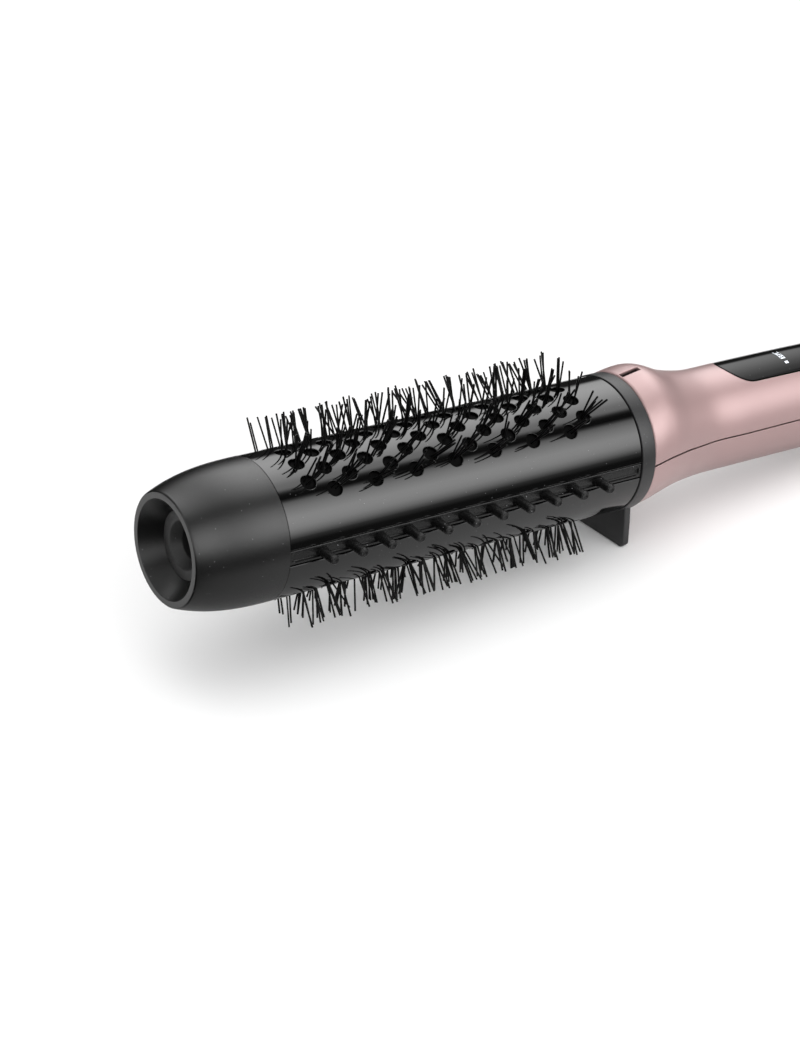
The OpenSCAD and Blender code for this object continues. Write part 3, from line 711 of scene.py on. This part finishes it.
def ringRise(ring, halfWidth, seam, side):
    # the highest corner stands at seam + side*(halfGap + rise*sqrt(1 - (y/halfWidth)^2)), which gives the rise
    y, z = ring[(side * ring[:, 2]).argmax(), 1:]
    return (side * (z - seam) - outline["halfGap"]) / math.sqrt(1 - (y / halfWidth) ** 2)


def handleOutline():
    # at each station: half width, height of the seam, and rise from the seam to the underside and to the top
    upper, lower = shellRings("handle_upper_shell"), shellRings("handle_lower_shell")
    at = np.array(sorted(lower))
    width = np.array([lower[s][:, 1].max() for s in at])
    seam = np.array([lower[s][np.abs(lower[s][:, 1]).argmax(), 2] for s in at]) + outline["halfGap"]
    under = np.array([ringRise(lower[s], w, z, -1) for s, w, z in zip(at, width, seam)])
    panel = nodeCorners("display_panel")
    crown = panel[(np.abs(panel[:, 1]) < 0.01) & (panel[:, 2] > outline["panelInside"])]
    crown = crown[np.unique(np.round(crown[:, 0], 1), return_index=True)[1]]
    ends = crown[0, 0] - outline["clear"], crown[-1, 0] + outline["clear"]
    bare = [i for i, s in enumerate(at) if s in upper and not ends[0] < s < ends[1]]
    shellTop = np.array([[at[i], seam[i] + ringRise(upper[at[i]], width[i], seam[i], 1)] for i in bare])
    tops = np.concatenate([shellTop, crown[:, [0, 2]]])
    return at, width, seam, under, tops[tops[:, 0].argsort()]


def smoothCurve(at, values):
    # natural cubic spline: second slopes solve a three-band system, pieces are cubics between stations
    n = len(at)
    gaps = np.diff(at)
    system = np.eye(n)
    right = np.zeros(n)
    for i in range(1, n - 1):
        system[i, i - 1:i + 2] = gaps[i - 1], 2 * (gaps[i - 1] + gaps[i]), gaps[i]
        right[i] = 6 * ((values[i + 1] - values[i]) / gaps[i] - (values[i] - values[i - 1]) / gaps[i - 1])
    second = np.linalg.solve(system, right)

    def curve(x):
        k = np.clip(np.searchsorted(at, x) - 1, 0, n - 2)
        left = x - at[k]
        toNext = at[k + 1] - x
        return ((second[k] * toNext ** 3 + second[k + 1] * left ** 3) / (6 * gaps[k])
                + (values[k] / gaps[k] - second[k] * gaps[k] / 6) * toNext
                + (values[k + 1] / gaps[k] - second[k + 1] * gaps[k] / 6) * left)
    return curve


handleAt, widths, seams, unders, tops = handleOutline()
halfWidth = smoothCurve(handleAt, widths)
middle = smoothCurve(handleAt, seams)
underCurve = smoothCurve(handleAt, unders)
topCurve = smoothCurve(tops[:, 0], tops[:, 1])


def riseOf(x, side):
    return topCurve(x) - middle(x) if side > 0 else underCurve(x)


handle = dict(front=float(handleAt[0]), rear=float(handleAt[-1]), wall=2.1, edges=(1.1, 0.4, 0.12, 0.12),
              cutEdge=0.3, seamGap=0.26, refRadius=18.0,
              panelHalf=9.6, panelFront=55.6, panelRear=150.0, panelGap=0.42,
              slotFront=7.2, slotRear=15.4, slotHalf=1.3, slotCorner=0.3)
print("handle outline:", len(handleAt), "stations,", len(tops), "tops, from", handle["front"], "to", handle["rear"])


def wrapHandle(side, inset=0.0):
    # v/refRadius is the turn from the crown: (x, y, z) = (u, -width(u)*sin(turn), seam(u) + side*rise(u)*cos(turn))
    def wrap(p):
        turn = p[:, 1] / handle["refRadius"]
        a = halfWidth(p[:, 0]) - inset
        b = riseOf(p[:, 0], side) - inset
        return np.stack([p[:, 0], -a * np.sin(turn), middle(p[:, 0]) + side * b * np.cos(turn)], -1)
    return wrap


def handleCore(p):
    # middle of the handle, which tells outside from inside
    return np.stack([p[:, 0], 0 * p[:, 0], middle(p[:, 0])], -1)


def acrossOf(p):
    # y = halfWidth*sin(v/refRadius)
    return halfWidth(p[:, 0]) * np.sin(p[:, 1] / handle["refRadius"])


def flatOf(x, y):
    # the inverse: v = refRadius*arcsin(y/halfWidth)
    return np.stack([x, handle["refRadius"] * np.arcsin(np.clip(y / halfWidth(x), -1, 1))], -1)


def slotCut(front, rear, half, corner, inside=False):
    # a round-cornered slot in plan; inside keeps what lies within it instead
    # distance = length of (dx, dy) beyond the corner centres - corner, with dx and dy measured from the middle
    middleX, halfX = (front + rear) / 2, (rear - front) / 2
    sign = -1 if inside else 1
    arc = np.linspace(0, np.pi / 2, 14)
    run = np.linspace(1, -1, max(2, int((halfX - corner) / 1.5)))[1:-1] * (halfX - corner)

    def ring(offset):
        r = corner + sign * offset
        quarters = [np.stack([sx * (halfX - corner) + r * np.cos(arc + q),
                              sy * (half - corner) + r * np.sin(arc + q)], -1)
                    for sx, sy, q in ((1, 1, 0), (-1, 1, np.pi / 2), (-1, -1, np.pi), (1, -1, 3 * np.pi / 2))]
        edge = half + sign * offset
        upper = np.stack([run, np.full(len(run), edge)], -1)
        loop = np.concatenate([quarters[0], upper, quarters[1], quarters[2], -upper, quarters[3]])
        loop = loop[np.linalg.norm(loop - np.roll(loop, 1, 0), axis=1) > 1e-6]
        return flatOf(middleX + loop[:, 0], loop[:, 1])

    def distance(p):
        dx = np.abs(p[:, 0] - middleX) - (halfX - corner)
        dy = np.abs(acrossOf(p)) - (half - corner)
        beyond = np.hypot(dx.clip(0), dy.clip(0)) + np.minimum(np.maximum(dx, dy), 0)
        return sign * (beyond - corner)

    return ring, distance


def diskCut(x, radius, count=48):
    # a round hole in plan
    turn = np.linspace(0, 2 * np.pi, count, endpoint=False)

    def ring(offset):
        return flatOf(x + (radius + offset) * np.cos(turn), (radius + offset) * np.sin(turn))

    def distance(p):
        return np.hypot(p[:, 0] - x, acrossOf(p)) - radius

    return ring, distance


def addHandleShell(name, side, nodeName):
    # half of the handle from seam to seam; the upper one has the panel's opening and the slot
    reach = handle["refRadius"] * math.pi / 2 - handle["seamGap"]
    cuts = []
    if side > 0:
        gap = handle["panelGap"]
        grown = handle["panelHalf"] + gap
        cuts = [slotCut(handle["panelFront"] - gap, handle["panelRear"] + gap, grown, grown),
                slotCut(handle["slotFront"], handle["slotRear"], handle["slotHalf"], handle["slotCorner"])]
    pattern = dict(limits=(handle["front"], handle["rear"], -reach, reach), steps=(1.6, 1.1),
                   edges=handle["edges"], cutEdge=handle["cutEdge"], core=handleCore)
    piece = piercedSkin(name, pattern, wrapHandle(side), cuts, handle["wall"], "brush",
                        roseGold)
    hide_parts(nodeName)
    return piece


addHandleShell("handleUpper", 1, "handle_upper_shell")
addHandleShell("handleLower", -1, "handle_lower_shell")
print("handle shells ready")

# ---- display panel: a curved gloss insert, level with the handle's top
buttons = dict(power_button=137.0, plus_button=108.0, minus_button=122.0)
buttonSize = dict(radius=4.4, clearance=0.2, flange=1.0, flangeThick=0.8, rise=0.5, bottom=16.5, edge=0.5, sides=64)


def addPanel():
    # the handle's own curve inside the panel's outline, with a hole for each button
    half = handle["panelHalf"]
    holes = [diskCut(x, buttonSize["radius"] + buttonSize["clearance"]) for x in buttons.values()]
    edge = slotCut(handle["panelFront"], handle["panelRear"], half, half, inside=True)
    pattern = dict(limits=(handle["panelFront"] - 3, handle["panelRear"] + 3, -half - 4, half + 4), steps=(1.2, 0.9),
                   edges=(0.2, 0.2, 0.2, 0.2), cutEdge=0.22, core=handleCore)
    piece = piercedSkin("displayPanel", pattern, wrapHandle(1), [edge, *holes], 1.7, "brush",
                        panelBlack)
    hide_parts("display_panel")
    return piece


addPanel()


def addButton(name, x, body):
    # a disc with a flange below and a soft rim on top: (x + radius*cos(turn), radius*sin(turn), height)
    c = buttonSize
    low, r, sides = c["bottom"], c["radius"], c["sides"]
    wide, ledge = r + c["flange"], low + c["flangeThick"]
    top = float(topCurve(np.array([x]))[0]) + c["rise"]
    profile = roundedProfile([(0.0, low), (wide, low), (wide, ledge), (r, ledge), (r, top), (r - 1.2, top - 0.05),
                              (0.0, top - 0.35)], [0.1, 0.1, 0.05, c["edge"], 0.8], steps=5)
    profile[0, 0] = profile[-1, 0] = 0.02
    turn = np.linspace(0, 2 * np.pi, sides, endpoint=False)
    radius = profile[:, :1]
    pts = np.stack([x + radius * np.cos(turn), radius * np.sin(turn), np.repeat(profile[:, 1:], sides, 1)], -1)
    rim = np.arange(sides)[None]
    groups = [gridFaces(len(profile), sides, True), rim, (len(profile) - 1) * sides + rim]
    piece = addMesh("cap_" + name, pts.reshape(-1, 3), groups, body, buttonBlack)
    faceOutward(piece)
    sharpen(piece, 50)
    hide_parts(name)
    return piece


addButton("power_button", buttons["power_button"], "power_key")
addButton("plus_button", buttons["plus_button"], "plus_key")
addButton("minus_button", buttons["minus_button"], "minus_key")
print("panel and buttons ready")

# ---- swivel gland: turned, with a rounded nose and the cord's hole
gland = dict(holeRadius=3.2, height=-1.0)


def addGland():
    # a closed outline of (along, radius) corners with rounded bends, turned about the handle's rear axis
    r = gland["holeRadius"]
    profile = roundedProfile(
        [(184.4, r), (184.4, 8.6), (187.2, 8.6), (187.2, 7.05), (190.25, 7.05), (190.3, 8.5), (192.2, 8.4),
         (196.0, 7.2), (200.4, 5.6), (201.0, 4.6), (201.0, r)],
        [0.2, 0.2, 0.05, 0.05, 0.3, 1.0, 1.5, 0.8, 0.2], steps=5)
    piece = addLathe("glandBody", profile, "swivel", softBlack, height=gland["height"], count=96)
    sharpen(piece, 45)
    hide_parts("swivel_gland")
    return piece


addGland()
print("gland ready")

# ---- floor, light and camera
def shadeRamp(tree, stops, source):
    # a colour ramp through (place, brightness) stops, all brightness as shares of the brightest
    peak = max(value for place, value in stops)
    ramp = tree.nodes.new("ShaderNodeValToRGB")
    tree.links.new(source, ramp.inputs["Fac"])
    elements = ramp.color_ramp.elements
    elements[0].position, elements[1].position = stops[0][0], stops[-1][0]
    elements[0].color = (stops[0][1] / peak,) * 3 + (1,)
    elements[1].color = (stops[-1][1] / peak,) * 3 + (1,)
    for place, value in stops[1:-1]:
        elements.new(place).color = (value / peak,) * 3 + (1,)
    return ramp.outputs["Color"], peak


def addFloor(name, low, high, height, material):
    mesh = bpy.data.meshes.new(name)
    mesh.from_pydata([(low[0], low[1], height), (high[0], low[1], height), (high[0], high[1], height),
                      (low[0], high[1], height)], [], [(0, 1, 2, 3)])
    mesh.materials.append(material)
    sheet = bpy.data.objects.new(name, mesh)
    bpy.context.scene.collection.objects.link(sheet)
    return sheet


def chalkWhite(name):
    # a dull white for the stage: returns the material, its node tree and its colour socket
    material = bpy.data.materials.new(name)
    material.use_nodes = True
    shader = material.node_tree.nodes["Principled BSDF"]
    shader.inputs["Roughness"].default_value = 0.9
    shader.inputs["Specular IOR Level"].default_value = 0.0
    return material, material.node_tree, shader.inputs["Base Color"]


floorShade = dict(seen=0.93, bounced=0.38)   # the floor throws less light back on the brush than it shows
floorWhite, floorTree, floorColor = chalkWhite("floorWhite")
floorPath = floorTree.nodes.new("ShaderNodeLightPath")
floorTree.links.new(mathNode(floorTree, "MULTIPLY_ADD", floorPath.outputs["Is Camera Ray"],
                             floorShade["seen"] - floorShade["bounced"], floorShade["bounced"]), floorColor)
floor = addFloor("floor", (-6, -6), (6, 6), 0.0, floorWhite)
floor.visible_glossy = False

# reflections see two small tables instead, whose white is darkened along the brush as painted shade standing for the
# brush's shadow on the floor: (place in metres, share of white)
tables = dict(reach=0.5, height=0.0001,
              stops=[(-0.5, 1.0), (-0.235, 1.0), (-0.215, 0.38), (0.02, 0.94), (0.06, 0.67), (0.2, 0.5), (0.5, 0.5)],
              patches=dict(tableTop=((-0.2, -0.12), (0.6, 0.22)), tableTip=((-0.6, 0.0), (-0.2, 0.22))))
tableWhite, tableTree, tableColor = chalkWhite("tableWhite")
tableWhere = tableTree.nodes.new("ShaderNodeTexCoord")
tableSplit = tableTree.nodes.new("ShaderNodeSeparateXYZ")
tableTree.links.new(tableWhere.outputs["Object"], tableSplit.inputs[0])
tablePlace = mathNode(tableTree, "MULTIPLY_ADD", tableSplit.outputs["X"], 0.5 / tables["reach"], 0.5)
# painted shade: the ramp darkens the tables where the floor lies in the brush's shadow
tablePaintedShade, _ = shadeRamp(tableTree, [(0.5 + 0.5 * x / tables["reach"], v) for x, v in tables["stops"]], tablePlace)
tableTree.links.new(tablePaintedShade, tableColor)
for name, (low, high) in tables["patches"].items():
    table = addFloor(name, low, high, tables["height"], tableWhite)
    table.visible_camera = False
    table.visible_diffuse = False
    table.visible_shadow = False

# strips: (turn in degrees round the brush from the near horizon over the top, brightness) of long soft lights
# ends: (how far a direction points along the brush, share of the strips' brightness there)
light = dict(side=0.33, top=1.95, near=5.2, strips=[
    (0, 0.6), (4, 1.3), (8, 2.2), (16, 3.5), (24, 4.05), (32, 4.15), (40, 3.5), (48, 2.75), (56, 1.7), (60, 0.4),
    (63, 0.03), (70, 0.05), (74, 0.3), (77, 1.2), (80, 2.0), (88, 2.2), (96, 2.9), (104, 3.2), (112, 3.45),
    (120, 3.45), (128, 3.2), (136, 2.85), (144, 2.3), (152, 1.8), (157, 0.9), (160, 0.25), (163, 0.04), (180, 0.02),
    (270, 0.05), (352, 0.05), (360, 0.4)],
    ends=[(-1, 0.7), (-0.78, 0.55), (-0.68, 0.12), (-0.5, 0.12), (-0.3, 0.4), (-0.2, 1.3), (-0.08, 1.3), (0.02, 0.5),
          (0.1, 0.4), (0.24, 0.45), (0.36, 0.9), (0.46, 1.35), (0.6, 1.25), (0.72, 0.55), (0.84, 0.15), (1, 0.1)])


def makeWorld():
    # diffuse light falls from a dome, side + top*z^4 + near*max(-y, 0)^4; gloss sees long strips along the brush
    world = bpy.data.worlds.new("studio")
    bpy.context.scene.world = world
    world.use_nodes = True
    tree = world.node_tree
    tree.nodes.clear()
    where = tree.nodes.new("ShaderNodeTexCoord")

    def along(axis):
        dot = tree.nodes.new("ShaderNodeVectorMath")
        dot.operation = "DOT_PRODUCT"
        dot.inputs[1].default_value = axis
        tree.links.new(where.outputs["Generated"], dot.inputs[0])
        return dot.outputs["Value"]

    turn = mathNode(tree, "ARCTAN2", along(axisZ), along(-axisY))
    share = mathNode(tree, "FRACT", mathNode(tree, "MULTIPLY_ADD", turn, 1 / (2 * math.pi), 1.0))
    strips, peak = shadeRamp(tree, [(place / 360, value) for place, value in light["strips"]], share)
    lengthwise = mathNode(tree, "MULTIPLY_ADD", along(axisX), 0.5, 0.5)
    ends, top = shadeRamp(tree, [((place + 1) / 2, value) for place, value in light["ends"]], lengthwise)
    path = tree.nodes.new("ShaderNodeLightPath")
    gloss = tree.nodes.new("ShaderNodeBackground")
    tree.links.new(mathNode(tree, "MULTIPLY", mathNode(tree, "MULTIPLY", strips, ends), peak * top),
                   gloss.inputs["Strength"])
    gloss.inputs["Color"].default_value = (1, 1, 1, 1)
    dome = tree.nodes.new("ShaderNodeBackground")
    dome.inputs["Color"].default_value = (1, 1, 1, 1)
    overhead = mathNode(tree, "POWER", mathNode(tree, "ABSOLUTE", along((0.0, 0.0, 1.0))), 4.0)
    nearSide = mathNode(tree, "POWER", mathNode(tree, "MAXIMUM", along(-axisY), 0.0), 4.0)
    falling = mathNode(tree, "MULTIPLY_ADD", overhead, light["top"], light["side"])
    tree.links.new(mathNode(tree, "MULTIPLY_ADD", nearSide, light["near"], falling), dome.inputs["Strength"])
    plain = tree.nodes.new("ShaderNodeBackground")
    plain.inputs["Color"].default_value = (1, 1, 1, 1)
    both = tree.nodes.new("ShaderNodeMixShader")
    tree.links.new(path.outputs["Is Glossy Ray"], both.inputs[0])
    tree.links.new(dome.outputs[0], both.inputs[1])
    tree.links.new(gloss.outputs[0], both.inputs[2])
    seen = tree.nodes.new("ShaderNodeMixShader")
    tree.links.new(path.outputs["Is Camera Ray"], seen.inputs[0])
    tree.links.new(both.outputs[0], seen.inputs[1])
    tree.links.new(plain.outputs[0], seen.inputs[2])
    out = tree.nodes.new("ShaderNodeOutputWorld")
    tree.links.new(seen.outputs[0], out.inputs["Surface"])


makeWorld()

view = dict(at=(-632.13, -721.49, 437.63), right=(0.81626, -0.57346, 0.06970), down=(-0.20556, -0.40110, -0.89267),
            lens=99.8)
camera = bpy.data.objects.new("camera", bpy.data.cameras.new("camera"))
bpy.context.scene.collection.objects.link(camera)
camera.data.lens = view["lens"]
camera.data.sensor_width = 36.0
camera.data.clip_start = 0.05
right = turnToRow(view["right"])
up = -turnToRow(view["down"])
back = np.cross(right, up)
placed = np.eye(4)
placed[:3, 0], placed[:3, 1], placed[:3, 2], placed[:3, 3] = right, up, back, toRow(view["at"])
camera.matrix_world = Matrix(placed.tolist())
bpy.context.scene.camera = camera
bpy.context.scene.view_settings.view_transform = "Standard"

print("scene ready")
